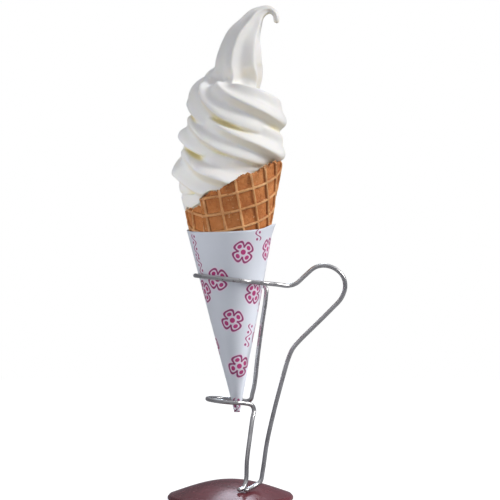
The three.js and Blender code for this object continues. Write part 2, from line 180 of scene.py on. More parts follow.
def roughness_at(points, size, octaves=3, seed=0.0):
    """Fractal noise from -1 to 1 at each point, with features of about that size."""
    shift = Vector((seed, seed * 1.7, -seed))
    return np.array([noise.fractal(Vector(p) / size + shift, 1.0, 2.0, octaves) for p in points])


# ---------- meshes ----------


def ring_faces(rings, around, closed_rings=False, closed_around=True):
    """Quads between rings of equally many points."""
    i, k = np.meshgrid(np.arange(rings if closed_rings else rings - 1),
                       np.arange(around if closed_around else around - 1), indexing="ij")
    i, k = i.ravel(), k.ravel()
    next_i, next_k = (i + 1) % rings, (k + 1) % around
    corners = (i * around + k, i * around + next_k, next_i * around + next_k, next_i * around + k)
    return np.stack(corners, 1)


def closed_loft(rings):
    """Points, triangles and quads of a closed mesh through rings, with a fan over each end."""
    rings = np.asarray(rings, float)
    count, around = rings.shape[:2]
    points = np.vstack([rings.reshape(-1, 3), rings[0].mean(0), rings[-1].mean(0)])
    k = np.arange(around)
    following = (k + 1) % around
    last = (count - 1) * around
    first_fan = np.stack([np.full(around, count * around), following, k], 1)
    last_fan = np.stack([np.full(around, count * around + 1), last + k, last + following], 1)
    return points, np.vstack([first_fan, last_fan]), ring_faces(count, around)


def new_object(name, points, faces, smooth=True):
    """A mesh object from points in millimetres."""
    mesh = bpy.data.meshes.new(name)
    mesh.from_pydata((np.asarray(points) * MM).tolist(), [], [list(map(int, face)) for face in faces])
    mesh.polygons.foreach_set("use_smooth", [smooth] * len(mesh.polygons))
    mesh.validate()
    made = bpy.data.objects.new(name, mesh)
    bpy.context.scene.collection.objects.link(made)
    return made


def set_attribute(made, name, values):
    attribute = made.data.attributes.new(name, "FLOAT", "POINT")
    attribute.data.foreach_set("value", np.asarray(values, np.float32))


def dress(made, material, node):
    """Gives a piece its material, hangs it under the root body and hides the CAD node that it stands for."""
    made.data.materials.clear()
    made.data.materials.append(material)
    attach(made, "root")
    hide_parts(node)


# ---------- material nodes ----------


class Graph:
    """A material's nodes.

    Each call adds a node and returns its output; a value is a socket or a constant.
    """

    def __init__(self, name):
        self.material = bpy.data.materials.new(name)
        self.material.use_nodes = True
        self.nodes = self.material.node_tree.nodes
        self.links = self.material.node_tree.links
        self.shader = self.nodes["Principled BSDF"]
        self.place = self.nodes.new("ShaderNodeTexCoord").outputs["Object"]

    def put(self, value, socket):
        if isinstance(value, bpy.types.NodeSocket):
            self.links.new(value, socket)
        else:
            socket.default_value = value

    def add(self, kind, inputs, output=0, **settings):
        node = self.nodes.new(kind)
        for key, value in settings.items():
            setattr(node, key, value)
        for key, value in inputs.items():
            self.put(value, node.inputs[key])
        return node.outputs[output]

    def math(self, operation, *values, clamp=False):
        return self.add("ShaderNodeMath", dict(enumerate(values)), operation=operation, use_clamp=clamp)

    def vector(self, operation, a, b):
        output = "Value" if operation == "LENGTH" else "Vector"
        return self.add("ShaderNodeVectorMath", {0: a, 1: b}, output, operation=operation)

    def range(self, value, low, high, to_low=0.0, to_high=1.0):
        inputs = {"Value": value, "From Min": low, "From Max": high, "To Min": to_low, "To Max": to_high}
        return self.add("ShaderNodeMapRange", inputs, "Result", interpolation_type="SMOOTHSTEP")

    def noise(self, scale, detail=2.0, roughness=0.5, vector=None, distortion=0.0):
        """Noise from 0 to 1; scale is how many features there are to a metre."""
        inputs = {"Vector": vector or self.place, "Scale": scale, "Detail": detail,
                  "Roughness": roughness, "Distortion": distortion}
        return self.add("ShaderNodeTexNoise", inputs, "Fac")

    def attribute(self, name):
        return self.add("ShaderNodeAttribute", {}, "Fac", attribute_name=name)

    def ramp(self, value, stops):
        """A colour by value, from (position, colour) pairs."""
        output = self.add("ShaderNodeValToRGB", {"Fac": value}, "Color")
        elements = output.node.color_ramp.elements
        while len(elements) < len(stops):
            elements.new(0.5)
        for element, (position, colour) in zip(elements, stops):
            element.position = position
            element.color = (*colour, 1)
        return output

    def mix(self, factor, a, b, blend="MIX"):
        node = self.nodes.new("ShaderNodeMix")
        node.data_type = "RGBA"
        node.blend_type = blend
        colours = [c if isinstance(c, bpy.types.NodeSocket) else (*c, 1) for c in (a, b)]
        for key, value in zip((0, 6, 7), (factor, *colours)):
            self.put(value, node.inputs[key])
        return node.outputs[2]

    def bump(self, height, distance, strength=1.0, after=None):
        inputs = {"Height": height, "Distance": distance * MM, "Strength": strength}
        if after is not None:
            inputs["Normal"] = after
        return self.add("ShaderNodeBump", inputs, "Normal")

    def finish(self, **inputs):
        """Sets the shader's inputs, named with _ for a space, and returns the material."""
        for key, value in inputs.items():
            self.put(value, self.shader.inputs[key.replace("_", " ")])
        return self.material


# ---------- soft serve ----------

VOXEL = 0.5
CREASE = 0.8  # radius that fills the cracks between the turns
FOOT_FILLET = 5.0  # radius that softens the fold where the tail rises from the coil
FOOT_ZONE = ((264, 272), (284, 294))  # heights where that fades in and out
CREVICE_SHADE_REACH = 5.0  # cracks narrower than twice this get painted shade, a warm yellow tint
CREVICE_SHADE_VOXEL = 1.0
ROOM = 6  # round the rope in its block of voxels

# The pulled-up tail from its hooked tip down to the coil: x, y, z, radius, section direction, ridge.
TAIL = (
    (30.8, 0, 317.4, 0.9, 90, 173),
    (30.8, 0, 318.2, 1.9, 90, 173),
    (30.7, 0, 319.8, 2.4, 90, 173),
    (30.4, 0, 322.6, 2.5, 90, 173),
    (28.4, 0, 325.6, 2.7, 90, 173),
    (24.8, 0, 326.7, 3.4, 90, 173),
    (20.7, 0, 325.2, 4.5, 90, 173),
    (16.8, 0, 321.9, 6.6, 90, 173),
    (13.0, 0, 315.7, 9.0, 90, 172),
    (9.0, 0, 307.7, 12.4, 90, 166),
    (7.0, 0.5, 300.0, 14.5, 90, 162),
    (5.7, 2.1, 292.2, 16.2, 90, 164),
    (4.9, 6.1, 284.3, 17.8, 92, 171),
    (0.7, 11.0, 276.4, 17.8, 108, 156),
    (-9.9, 12.4, 271.5, 17.0, 143, 152),
)


def axis_x(height):
    return AXIS_TOP[0] - AXIS_LEAN * (AXIS_TOP[1] - height)


def at_side(turn):
    """1 where a turn faces +X, 0 well away from there."""
    return np.maximum(np.cos(np.radians(turn)), 0) ** 6


def ridge_angle(turn):
    angle = RIDGE_START + RIDGE_TWIST * (turn - FRONT) + np.interp(turn, *zip(*RIDGE_SHIFT))
    for waves, cosine, sine in RIDGE_SWAY:
        phase = math.radians(waves * turn)
        angle += cosine * math.cos(phase) + sine * math.sin(phase)
    return angle + RIDGE_LIFT * at_side(turn)


def rope_stations():
    """Rows of x, y, z, radius, section direction and ridge angle."""
    turns, *columns = zip(*COIL)
    rows = list(TAIL)
    for turn in range(turns[0], turns[-1] + 1, COIL_STEP):
        height, reach, radius = (np.interp(turn, turns, column) for column in columns)
        angle = math.radians(turn)
        centre = (axis_x(height) + reach * math.cos(angle), reach * math.sin(angle), height)
        rows.append((*centre, radius, turn, ridge_angle(turn)))
    return rows


def flute(phase, middle, valley, rounding):
    """Radius of the fluted section: rounded ridges, with each hollow groove deepest at its middle."""
    share = np.mod(phase, 1) ** (math.log(0.5) / np.log(middle))
    wave = np.hypot(np.sin(np.pi * share), rounding) - rounding
    ridge = 1 - wave / (np.hypot(1, rounding) - rounding)
    return valley + (1 - valley) * ridge


def rope_rings(per_station=10, per_ridge=24):
    """Rings along the rope, held short of the centre of each bend so that it never folds."""
    line = catmull_rom(rope_stations(), per_station)
    centres, radii = line[:, :3], line[:, 3]
    turns, ridges = np.radians(line[:, 4]), np.radians(line[:, 5])
    steps = np.gradient(centres, axis=0)
    along = unit(steps)
    bend = np.gradient(along, axis=0) / np.linalg.norm(steps, axis=1, keepdims=True)
    outward = np.stack([np.cos(turns), np.sin(turns), 0 * turns], 1)
    outward = unit(outward - (outward * along).sum(1, keepdims=True) * along)
    upward = np.cross(outward, along)
    phase = np.arange(ROPE_RIDGES * per_ridge) / per_ridge
    angle = ridges[:, None] + phase[None, :] * 2 * np.pi / ROPE_RIDGES
    way = np.cos(angle)[..., None] * outward[:, None] + np.sin(angle)[..., None] * upward[:, None]
    inwards = np.maximum((way * bend[:, None]).sum(-1), 1e-3)
    side = at_side(line[:, 4])
    middles = np.interp(centres[:, 2], *zip(*GROOVE_MIDDLE))
    sideways = np.abs(np.cos(turns)) ** 4 * (centres[:, 2] < FOOT_ZONE[1][0])
    rounding = RIDGE_ROUNDING + SIDE_ROUNDING * sideways
    valleys = ROPE_VALLEY + VALLEY_FILL * side
    section = flute(phase[None, :], middles[:, None], valleys[:, None], rounding[:, None])
    reach = np.minimum(radii[:, None] * section, BEND_LIMIT / inwards)
    offset = reach[..., None] * way
    level = np.clip(1 - SAG_FADE * np.abs(along[:, 2]), 0, 1)
    sag = COIL_SAG * level * (1 - SAG_LOSS * side)
    below = (np.hypot(offset[..., 2], SAG_ROUNDING) - offset[..., 2]) / 2
    return centres[:, None] + offset + (sag[:, None] * below)[..., None] * outward[:, None]


def core_rings():
    """What fills the coil's middle."""
    angle = np.linspace(0, 2 * np.pi, 72, endpoint=False)
    rings = []
    for height, radius in CORE_LEVELS:
        x = axis_x(height) + radius * np.cos(angle)
        rings.append(np.stack([x, radius * np.sin(angle), 0 * angle + height], 1))
    return rings


def cone_rings(bottom, top, out, steps=180):
    """A length of the cone as two rings, with its top a number or a function of azimuth."""
    azimuth = np.linspace(0, 2 * np.pi, steps, endpoint=False)
    upper = top(azimuth) if callable(top) else top
    return [on_cone(bottom, azimuth, out), on_cone(upper, azimuth, out)]


def past_seam(azimuth):
    return np.mod(np.degrees(azimuth) - SEAM_AZIMUTH, 360)


def rim(azimuth):
    """Slant length of the waffle's cut rim."""
    slope = RIM_MIDDLE + RIM_SLOPE * np.cos(azimuth) + RIM_BACK * np.sin(azimuth)
    ripple = RIM_RIPPLE * (np.sin(9 * azimuth + 1) + 0.6 * np.sin(16 * azimuth + 2))
    return slope + ripple - SEAM_STEP * smoothstep(past_seam(azimuth), *SEAM_STEP_SPAN)


def waffle_outside(azimuth):
    return WAFFLE_OUTSIDE + SEAM_LIFT * (1 - smoothstep(past_seam(azimuth), *SEAM_LIFT_SPAN))


def rolled_azimuths(steps):
    """Azimuths from one side of the seam all the way round to the other."""
    return np.radians(np.linspace(SEAM_AZIMUTH + SEAM_GAP, SEAM_AZIMUTH + 360 - SEAM_GAP, steps))


def cutter_rings(proud_side, proud_rim):
    """The rolled waffle filled solid, grown a little, which keeps the cream clear of it."""
    azimuth = rolled_azimuths(361)
    out = waffle_outside(azimuth) + proud_side
    return [on_cone(slant, azimuth, out) for slant in (WAFFLE_BOTTOM, rim(azimuth) + proud_rim)]


class Field:
    """Signed distances on one block of voxels."""

    def __init__(self, low, high, voxel, reach):
        self.voxel, self.band = voxel, int(math.ceil(reach / voxel)) + 3
        self.start = np.floor(np.asarray(low) / voxel).astype(int)
        self.shape = tuple(np.ceil(np.asarray(high) / voxel).astype(int) - self.start)
        self.transform = openvdb.createLinearTransform(voxelSize=voxel)

    def level_set(self, *meshes):
        """The level set of the union of closed meshes, each of points, triangles and quads."""
        shift, points, triangles, quads = 0, [], [], []
        for p, t, q in meshes:
            points.append(p)
            triangles.append(t + shift)
            quads.append(q + shift)
            shift += len(p)
        arrays = (np.vstack(points).astype(np.float32), np.vstack(triangles).astype(np.uint32),
                  np.vstack(quads).astype(np.uint32))
        return openvdb.FloatGrid.createLevelSetFromPolygons(*arrays, self.transform, float(self.band))

    def to_array(self, grid):
        values = np.zeros(self.shape, np.float32)
        grid.copyToArray(values, ijk=tuple(int(x) for x in self.start))
        return values

    def to_mesh(self, values, iso=0.0):
        grid = openvdb.FloatGrid(self.band * self.voxel)
        grid.copyFromArray(np.ascontiguousarray(values), ijk=tuple(int(x) for x in self.start))
        grid.transform = self.transform
        grid.gridClass = openvdb.GridClass.LEVEL_SET
        return polygons(grid, iso)

    def sample(self, values, points):
        """Values at points, between voxels."""
        place = np.clip(points / self.voxel - self.start, 0, np.array(self.shape) - 1.001)
        cell = place.astype(int)
        share = place - cell
        total = np.zeros(len(points))
        for corner in np.ndindex(2, 2, 2):
            weight = np.prod(np.where(np.array(corner) == 1, share, 1 - share), 1)
            total += weight * values[tuple((cell + corner).T)]
        return total


def polygons(grid, iso=0.0):
    """The grid's surface at that distance, with its faces turned outwards."""
    points, *faces = grid.convertToPolygons(iso, 0.0)
    triangles, quads = (f.reshape(-1, n)[:, ::-1].astype(int) for f, n in zip(faces, (3, 4)))
    return points, triangles, quads


def blurred(values):
    """Softens a block of values by a short binomial filter along each axis."""
    for axis in range(3):
        values = (np.roll(values, 1, axis) + 2 * values + np.roll(values, -1, axis)) / 4
    return values


def creases_filled(block, meshes, radius):
    """Distances to a union of meshes whose cracks are filled to that radius."""
    grown = polygons(block.level_set(*meshes), radius)
    return block.to_array(block.level_set(grown)) + radius


def soft_serve():
    rope = closed_loft(rope_rings())
    low, high = rope[0].min(0) - ROOM, rope[0].max(0) + ROOM
    low[2] = on_cone(WAFFLE_BOTTOM, 0.0, 0.0)[2]
    block = Field(low, high, VOXEL, CREASE)
    collar = closed_loft(cone_rings(COLLAR_BOTTOM, COLLAR_TOP, COLLAR_OUTSIDE))
    swirl = creases_filled(block, (rope, closed_loft(core_rings()), collar), CREASE)

    (fade_in, full), (fading, gone) = FOOT_ZONE
    foot = Field((*low[:2], fade_in), (*high[:2], gone), VOXEL, FOOT_FILLET)
    first = foot.start[2] - block.start[2]
    layers = slice(first, first + foot.shape[2])
    height = (np.arange(foot.shape[2]) + foot.start[2]) * VOXEL
    weight = smoothstep(height, fade_in, full) * (1 - smoothstep(height, fading, gone))
    softened = creases_filled(foot, (rope, closed_loft(core_rings())), FOOT_FILLET)
    swirl[..., layers] += (softened - swirl[..., layers]) * weight.astype(np.float32)

    cutter = block.to_array(block.level_set(closed_loft(cutter_rings(CREAM_GAP, CREAM_LIFT))))
    plug_rings = cone_rings(PLUG_BOTTOM, PLUG_TOP, FILLING_OUTSIDE)
    plug = block.to_array(block.level_set(closed_loft(plug_rings)))
    values = blurred(np.minimum(np.maximum(blurred(swirl), -cutter), plug))
    points, triangles, quads = block.to_mesh(values)
    made = new_object("soft_serve_swirl", points, [*triangles, *quads])

    # Painted shade: how deep each point lies in a crack, which the material turns into a warm yellow tint.
    wide = Field(low - CREVICE_SHADE_REACH, high + CREVICE_SHADE_REACH, CREVICE_SHADE_VOXEL, CREVICE_SHADE_REACH)
    grown = polygons(wide.level_set((points, triangles, quads)), CREVICE_SHADE_REACH)
    depth = -wide.sample(wide.to_array(wide.level_set(grown)), points) - CREVICE_SHADE_REACH
    set_attribute(made, "crevice", np.clip(depth, 0, CREVICE_SHADE_REACH))
    # A painted shade mask: 1 on faces that look downwards, which the material darkens.
    normals = np.empty(3 * len(points), np.float32)
    made.data.vertex_normals.foreach_get("vector", normals)
    set_attribute(made, "under", smoothstep(-normals[2::3], 0.1, 0.7))
    return made


def cream_material():
    g = Graph("cream")
    depth = g.attribute("crevice")
    # Painted shade: deep in the cracks between the turns the cream is tinted warm yellow, as light bounced
    # inside them would colour it.
    crevice_shade = g.range(depth, 0.6, 3.0)
    mottled = g.mix(g.noise(60, 3), (0.86, 0.85, 0.83), (0.9, 0.89, 0.87))
    # Painted shade: faces that look downwards are made darker and warmer, as if shaded from the light above.
    shaded = g.mix(g.attribute("under"), mottled, (0.86, 0.81, 0.69))
    colour = g.mix(crevice_shade, shaded, (0.88, 0.81, 0.54))
    fine = g.bump(g.noise(900, 3, 0.6), 0.05, 0.35)
    flow = g.bump(g.noise(170, 2), 0.35, 0.3, fine)
    gloss = g.range(g.noise(120, 3), 0.3, 0.7, 0.38, 0.5)
    return g.finish(
        Base_Color=colour, Roughness=gloss, Normal=flow, IOR=1.38,
        Subsurface_Weight=0.3, Subsurface_Radius=(1.0, 0.85, 0.6), Subsurface_Scale=1.2 * MM,
        Specular_IOR_Level=0.4, Coat_Weight=0.08, Coat_Roughness=0.25,
    )


# ---------- waffle cone ----------

RIDGE_FLAT = 0.5  # half width of a ridge's top
RIDGE_FOOT = 1.3  # half width of a ridge at the pocket's floor
POCKET_SHOWN = 1.45  # depth of the pockets, with their floors pressed a little deeper than in the solid
WAFFLE_COLUMNS = 640
WAFFLE_ROWS = 116  # above the sleeve's edge
BATTER_WANDER = 0.28  # how far the ridges stray, in long waves
BATTER_UNEVEN = 0.2  # and how uneven their sides are
BATTER_CRUMB = (0.12, 0.08)  # height of the crumbs, and what it is cut off at
TORN = (0.8, 0.5)  # heights of the flakes torn along the rim, coarse and fine
RIM_WORN = (0.9, 1.3)  # how far the rim's outer edge is worn in, and down to where
RIM_CREST = (0.35, 0.5)  # how far the cut edge bulges up, evenly and unevenly
RIM_RAGGED = 0.25
RIM_ROWS = 7  # rings over the cut edge
INNER_ROWS = 7
COVERED_SLANTS = (WAFFLE_BOTTOM, 70, 110, 122)  # plain rings under the sleeve


def sheet_place(slant, azimuth):
    """A place on the cone in the pressed grid's own flat coordinates."""
    fan = (azimuth - math.radians(FRONT)) * math.sin(HALF_ANGLE) - GRID_TURN
    return slant * np.sin(fan), slant * np.cos(fan)


def to_line(value, phase, pitch):
    """Distance from the nearest line of an even row of lines."""
    return np.abs(np.mod(value - phase + pitch / 2, pitch) - pitch / 2)


def waffle_relief(slant, azimuth, points):
    """0 on a pocket's floor to 1 on a ridge, with the unevenness of pressed batter."""
    across, along = sheet_place(slant, azimuth)
    wander = BATTER_WANDER * roughness_at(points, 9.0, 2, 3.1).reshape(slant.shape)
    uneven = BATTER_UNEVEN * roughness_at(points, 3.0, 2, 7.7).reshape(slant.shape)
    nearest = np.minimum(
        to_line(across + wander, GRID_PHASE[0], GRID_PITCH[0]),
        to_line(along - wander, GRID_PHASE[1], GRID_PITCH[1]),
    )
    return 1 - smoothstep(nearest + uneven, RIDGE_FLAT, RIDGE_FOOT)


def waffle_cone():
    columns = WAFFLE_COLUMNS
    azimuth = rolled_azimuths(columns)
    edge = on_cone(rim(azimuth), azimuth, 0 * azimuth)
    coarse, fine = TORN
    broken = rim(azimuth) + coarse * roughness_at(edge, 3.2, 3, 1.3) + fine * roughness_at(edge, 1.1, 2, 5.0)
    shown_share = np.linspace(0, 1, WAFFLE_ROWS)
    slants = [np.full(columns, float(s)) for s in COVERED_SLANTS]
    slants += [SLEEVE_TOP - 5 + (broken - SLEEVE_TOP + 5) * share for share in shown_share]
    slant = np.array(slants)
    angle = np.broadcast_to(azimuth, slant.shape)
    smooth = on_cone(slant, angle, 0 * slant)
    relief = waffle_relief(slant, angle, smooth.reshape(-1, 3))
    relief[: len(COVERED_SLANTS)] = 1
    to_rim = broken[None, :] - slant
    crumb_height, crumb_limit = BATTER_CRUMB
    crumb = crumb_height * roughness_at(smooth.reshape(-1, 3), 1.6, 3, 2.2).reshape(slant.shape)
    crumb[: len(COVERED_SLANTS)] = 0
    drop = POCKET_SHOWN * (1 - relief)
    worn, worn_to = RIM_WORN
    rounding = worn * (1 - smoothstep(to_rim, 0, worn_to)) ** 2
    outside = waffle_outside(angle) - drop - rounding + np.minimum(crumb, crumb_limit)
    outer = on_cone(slant, angle, outside)

    inside = WAFFLE_OUTSIDE - WAFFLE_THICKNESS
    share = np.linspace(0, 1, RIM_ROWS + 2)[1:-1, None]
    even, rough = RIM_CREST
    crest = np.sin(np.pi * share) * (even + rough * roughness_at(edge, 2.0, 2, 9.0)[None, :])
    across_rim = outside[-1] * (1 - share) + (inside + 0.4) * share
    places = np.tile(edge, (RIM_ROWS, 1)) * (1, 1, 0.6)
    ragged = RIM_RAGGED * roughness_at(places, 0.9, 2, 4.0).reshape(RIM_ROWS, -1) * np.sin(np.pi * share)
    top = on_cone(broken + crest + ragged, np.tile(azimuth, (RIM_ROWS, 1)), across_rim)

    lowest = WAFFLE_BOTTOM + WAFFLE_FLOOR
    inner_slants = np.linspace(1, 0, INNER_ROWS)[:, None] * (broken - 0.5 - lowest) + lowest
    inner = on_cone(inner_slants, np.tile(azimuth, (INNER_ROWS, 1)), inside + 0 * inner_slants)
    rings = np.concatenate([outer, top, inner])
    rows = len(rings)
    faces = ring_faces(rows, columns)
    bottom_ring, floor_ring = np.arange(columns), (rows - 1) * columns + np.arange(columns)
    made = new_object("waffle_cone_shell", rings.reshape(-1, 3),
                      [*faces[:, ::-1], bottom_ring, floor_ring[::-1]])
    unseen = np.ones((rows - len(slant), columns))
    set_attribute(made, "ridge", np.concatenate([relief, unseen]).ravel())
    set_attribute(made, "rim", np.concatenate([1 - smoothstep(to_rim, 0.2, 3.5), unseen]).ravel())
    return made


def waffle_material():
    g = Graph("waffle")
    ridge, edge = g.attribute("ridge"), g.attribute("rim")
    patches = g.noise(55, 4, 0.6)
    grain = g.noise(700, 4, 0.65)
    floor = g.ramp(patches, (
        (0.3, (0.44, 0.132, 0.034)),
        (0.52, (0.57, 0.202, 0.06)),
        (0.72, (0.69, 0.28, 0.096)),
    ))
    crest = g.ramp(patches, ((0.3, (0.64, 0.31, 0.115)), (0.7, (0.82, 0.49, 0.235))))
    colour = g.mix(g.range(ridge, 0.4, 0.95), floor, crest)
    # Painted shade: a dark line along the foot of each ridge, where the pocket floor meets the ridge's side.
    foot = g.math("MULTIPLY", g.range(ridge, 0.0, 0.12, 0.0, 0.5), g.range(ridge, 0.25, 0.6, 1.0, 0.0))
    colour = g.mix(foot, colour, (0.19, 0.05, 0.012))
    browned = g.range(g.noise(140, 3, 0.55), 0.4, 0.64, 0.0, 0.4)
    colour = g.mix(browned, colour, (0.3, 0.078, 0.018))
    toasted = g.math("MULTIPLY", edge, g.range(g.noise(260, 3), 0.45, 0.65))
    colour = g.mix(toasted, colour, (0.26, 0.08, 0.022))
    colour = g.mix(g.range(grain, 0.35, 0.75, 0.0, 0.35), colour, (0.66, 0.33, 0.13))
    crumbs = g.range(g.noise(480, 2, 0.5), 0.66, 0.74, 0.0, 0.6)
    colour = g.mix(crumbs, colour, (0.8, 0.5, 0.25))
    pores = g.range(g.noise(640, 3, 0.6), 0.28, 0.38, 0.6, 0.0)
    colour = g.mix(pores, colour, (0.22, 0.06, 0.016))
    pits = g.bump(g.noise(420, 5, 0.7), 0.6, 0.8)
    skin = g.bump(g.noise(1500, 3, 0.6), 0.15, 0.6, pits)
    dull = g.math("SUBTRACT", g.range(grain, 0.3, 0.7, 0.52, 0.72), g.math("MULTIPLY", ridge, 0.16))
    return g.finish(
        Base_Color=colour, Roughness=dull, Normal=skin, Specular_IOR_Level=0.25,
        Subsurface_Weight=0.08, Subsurface_Radius=(1.0, 0.5, 0.25), Subsurface_Scale=0.8 * MM,
    )


# ---------- paper sleeve ----------

FLAP_EDGE = 350  # azimuth where the wrapped paper's outer edge lies
OVERLAP = 28  # degrees of double paper
CURL = 1.6  # how far the flap's free top corner stands out
FLAP_RISE = 2.2  # how far that corner stands up above the rest of the top edge
CURL_REACH = (14, 13)  # degrees and mm over which the corner comes loose
CURL_POWER = 1.6
FLAP_SPAN = 40  # degrees over which it rises
UNDER_SPAN = (4, 8)  # degrees before and after the overlap's end where the under layer comes out
PAPER_RIPPLE = (0.16, 0.08)  # height of the ripples, and what it is cut off at
PAPER_GAP = 0.03  # between the two layers
PAPER_COLUMNS = 300
PAPER_ROWS = 90

# Printed flowers: azimuth, slant and turn of the petals. The back repeats the front's spacing.
FLOWERS = (
    (289, 117.2, 35), (244, 99.8, 30), (202.5, 92, 20), (317.5, 89.5, 40), (267.5, 71.8, 25),
    (288.5, 40.5, 20), (341, 119, 60), (18, 96, 10), (52, 119, 50), (62, 84, 15), (112, 104, 35),
    (140, 122, 5), (158, 88, 40), (170, 114, 20), (12, 62, 30), (128, 66, 55), (172, 55, 10),
)
# Printed sprigs, which wave and carry dots: azimuth, slant and turn from the downward line.
SPRIGS = (
    (208, 123, -4), (209, 108, 6), (311, 132, 10), (352, 84, 0), (318, 61, -8), (90, 72, 10),
    (78, 128, 25), (150, 103, -20), (105, 50, 10), (270, 11, 0),
)
PETAL_MIDDLE = 4.2  # from the flower's centre
PETAL_LENGTH = 2.85  # half of it
PETAL_WIDTH = (1.9, 0.28)  # half of it: a part that stays and a part for each mm from the centre
PETAL_OPEN = 3.0  # the petals' outlines start this far from the centre
PETAL_SEED = (4.5, 1.3, 1.65)  # the filled shape inside: its middle, half length and half width
FLOWER_EYE = 1.75
PETAL_SQUARENESS = 2.6  # 2 is an ellipse
STROKE = 0.56  # half width of the printed line
INK_EDGE = 0.12  # half width of the blur at the ink's edge
SPRIG_WAVE = (0.75, 2.1)  # radians for each mm, and amplitude
SPRIG_HALF = 7.4  # half length
SPRIG_DOT = (1.3, 2.1, 0.35)  # way from the middle, half the spacing, addition to the radius


def sleeve_top(azimuth):
    return SLEEVE_TOP + SLEEVE_TOP_RISE * (1 - np.cos(azimuth - math.radians(SLEEVE_LOWEST)))


def paper_sleeve():
    columns, rows = PAPER_COLUMNS, PAPER_ROWS
    start = FLAP_EDGE - 360 - OVERLAP
    degrees = np.linspace(start, FLAP_EDGE, columns)
    azimuth = np.radians(degrees)[None, :]
    share = np.linspace(0, 1, rows)[:, None]
    top = sleeve_top(azimuth) + FLAP_RISE * smoothstep(degrees, FLAP_EDGE - FLAP_SPAN, FLAP_EDGE)[None, :]
    slant = SLEEVE_BOTTOM + (top - SLEEVE_BOTTOM) * share
    angle = np.broadcast_to(azimuth, slant.shape)
    before, after = UNDER_SPAN
    under = 1 - smoothstep(degrees, start + OVERLAP - before, start + OVERLAP + after)[None, :]
    near_edge = np.clip(1 - (FLAP_EDGE - degrees) / CURL_REACH[0], 0, 1)[None, :]
    near_top = np.clip(1 - (top - slant) / CURL_REACH[1], 0, 1)
    curl = CURL * (near_edge * near_top) ** CURL_POWER
    smooth = on_cone(slant, angle, 0 * slant).reshape(-1, 3)
    height, limit = PAPER_RIPPLE
    ripple = height * roughness_at(smooth * (1, 1, 0.35), 11.0, 2, 6.0).reshape(slant.shape)
    out = -PAPER - (PAPER + PAPER_GAP) * under + np.minimum(ripple, limit) * (1 - under) + curl
    faces_out = [on_cone(slant, angle, out + side * PAPER / 2) for side in (1, -1)]
    rings = np.concatenate([faces_out[0], faces_out[1][::-1]])
    faces = ring_faces(2 * rows, columns, closed_rings=True, closed_around=False)[:, ::-1]
    ends = []
    for column, order in ((0, 1), (columns - 1, -1)):
        outer = np.arange(rows) * columns + column
        inner = (2 * rows - 1 - np.arange(rows)) * columns + column
        strip = np.stack([outer[:-1], outer[1:], inner[1:], inner[:-1]], 1)
        ends.append(strip[:, ::order])
    return new_object("paper_sleeve_wrap", rings.reshape(-1, 3), [*faces, *ends[0], *ends[1]])


def flat_paper(g):
    """(across, along) on the unrolled paper, in millimetres, with the cut at the back."""
    leaning = g.vector("SUBTRACT", g.place, tuple(TIP * MM))
    upright = g.add("ShaderNodeVectorRotate", {"Vector": leaning, "Angle": LEAN}, rotation_type="Y_AXIS")
    split = g.add("ShaderNodeSeparateXYZ", {0: upright}).node.outputs
    from_front = g.math("ARCTAN2", split["X"], g.math("MULTIPLY", split["Y"], -1.0))
    fan = g.math("MULTIPLY", from_front, math.sin(HALF_ANGLE))
    slant = g.math("MULTIPLY", g.vector("LENGTH", upright, (0, 0, 0)), 1 / MM)
    across = g.math("MULTIPLY", slant, g.math("SINE", fan))
    along = g.math("MULTIPLY", slant, g.math("COSINE", fan))
    return g.add("ShaderNodeCombineXYZ", {"X": across, "Y": along})


def paper_point(azimuth, slant):
    from_front = (azimuth - FRONT + 180) % 360 - 180
    fan = math.radians(from_front) * math.sin(HALF_ANGLE)
    return slant * math.sin(fan), slant * math.cos(fan), fan


def nearest_motif(g, sheet, motifs):
    """The place relative to the nearest motif, in the motif's own directions, and its distance."""
    best_place, best_distance = None, None
    for azimuth, slant, turn in motifs:
        across, along, fan = paper_point(azimuth, slant)
        from_middle = g.vector("SUBTRACT", sheet, (across, along, 0))
        turned = {"Vector": from_middle, "Angle": -math.radians(turn) + fan}
        place = g.add("ShaderNodeVectorRotate", turned, rotation_type="Z_AXIS")
        distance = g.vector("LENGTH", from_middle, (0, 0, 0))
        if best_place is None:
            best_place, best_distance = place, distance
            continue
        closer = g.math("LESS_THAN", distance, best_distance)
        best_place = g.mix(closer, best_place, place)
        best_distance = g.math("MINIMUM", best_distance, distance)
    return best_place, best_distance


def flower(g, sheet):
    """Distance from a flower's line, and distance outside its filled shapes."""
    place, distance = nearest_motif(g, sheet, FLOWERS)
    split = g.add("ShaderNodeSeparateXYZ", {0: place}).node.outputs
    angle = g.math("ARCTAN2", split["Y"], split["X"])
    folded = g.math("WRAP", angle, math.pi / 4, -math.pi / 4)
    x = g.math("MULTIPLY", distance, g.math("COSINE", folded))
    y = g.math("ABSOLUTE", g.math("MULTIPLY", distance, g.math("SINE", folded)))
    half_width = g.math("ADD", g.math("MULTIPLY", x, PETAL_WIDTH[1]), PETAL_WIDTH[0])
    long = g.math("ABSOLUTE", g.math("SUBTRACT", x, PETAL_MIDDLE))
    wide = g.math("DIVIDE", g.math("MULTIPLY", y, PETAL_LENGTH), half_width)
    power = PETAL_SQUARENESS
    petal = g.math("ADD", g.math("POWER", long, power), g.math("POWER", wide, power))
    petal = g.math("POWER", petal, 1 / power)
    line = g.math("ABSOLUTE", g.math("SUBTRACT", petal, PETAL_LENGTH))
    line = g.math("MAXIMUM", line, g.math("SUBTRACT", PETAL_OPEN + STROKE, distance))
    middle, seed_length, seed_width = PETAL_SEED
    seed_x = g.math("SUBTRACT", x, middle)
    seed_y = g.math("MULTIPLY", y, seed_length / seed_width)
    seed = g.math("SQRT", g.math("ADD", g.math("POWER", seed_x, 2.0), g.math("POWER", seed_y, 2.0)))
    eye = g.math("SUBTRACT", distance, FLOWER_EYE)
    return line, g.math("MINIMUM", g.math("SUBTRACT", seed, seed_length), eye)


